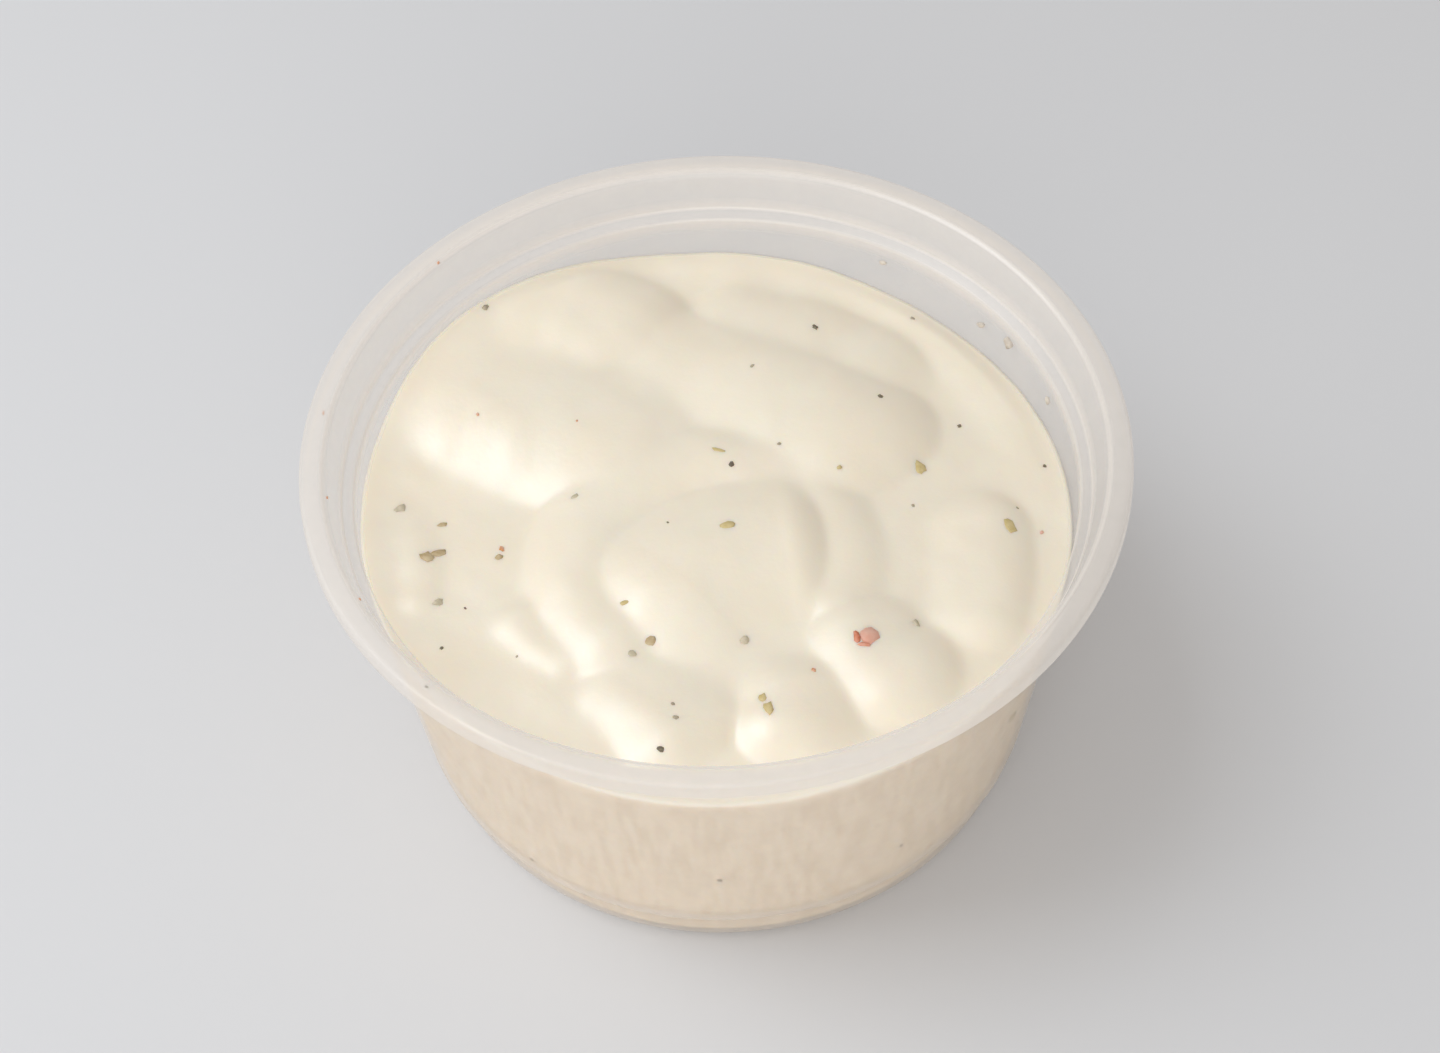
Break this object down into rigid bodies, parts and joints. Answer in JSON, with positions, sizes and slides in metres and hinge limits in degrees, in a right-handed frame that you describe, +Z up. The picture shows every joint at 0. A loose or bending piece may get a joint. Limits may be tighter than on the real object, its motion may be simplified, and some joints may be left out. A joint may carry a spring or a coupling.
{
  "type": "portion cup of ranch dressing",
  "caption": "Translucent plastic portion cup with a snap-lid rim and an inset foot, filled with thick spooned ranch dressing that has herb flakes in its folds.",
  "frame": {"origin": "centre of the foot, on the surface that the cup stands on", "axes": "+Z up, -Y towards the viewer of the picture, +X to the viewer's right"},
  "size_m": [0.0736, 0.0736, 0.0364],
  "materials": {
    "cup_plastic": "milky translucent, satin",
    "dressing": "creamy, softly glossy"
  },
  "bodies": {
    "root": {"cup": "cup_plastic", "dressing": "dressing"}
  },
  "joints": []
}
